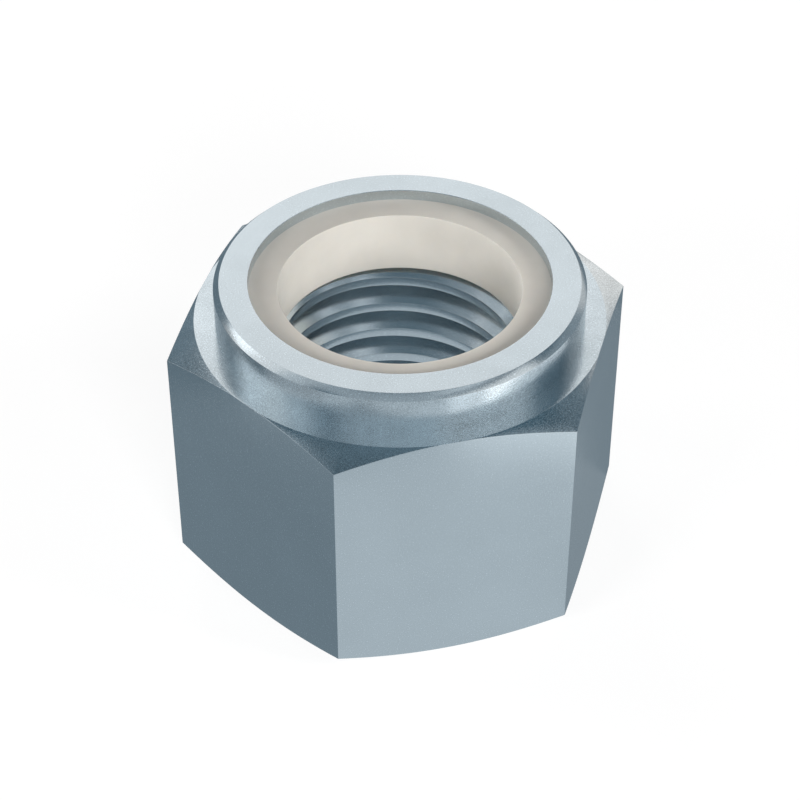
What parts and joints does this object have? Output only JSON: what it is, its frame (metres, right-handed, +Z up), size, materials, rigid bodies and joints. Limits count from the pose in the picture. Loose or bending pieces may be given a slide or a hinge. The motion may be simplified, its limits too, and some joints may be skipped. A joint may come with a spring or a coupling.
{
  "type": "nylon insert lock nut",
  "caption": "Tall hexagon lock nut: chamfered corners, flat shoulder, and a thin collar rolled in over a nylon ring that grips the bolt above the thread.",
  "frame": {"origin": "centre of the bearing face, on the axis of the thread", "axes": "+Z up the thread from the bearing face to the collar's rim, +X through a corner of the hexagon, +Y square to a flat"},
  "size_m": [0.0416, 0.036, 0.028],
  "materials": {
    "plated_steel": "satin",
    "nylon": "satin"
  },
  "bodies": {
    "root": {"nut_body": "plated_steel", "nylon_ring": "nylon"}
  },
  "joints": []
}
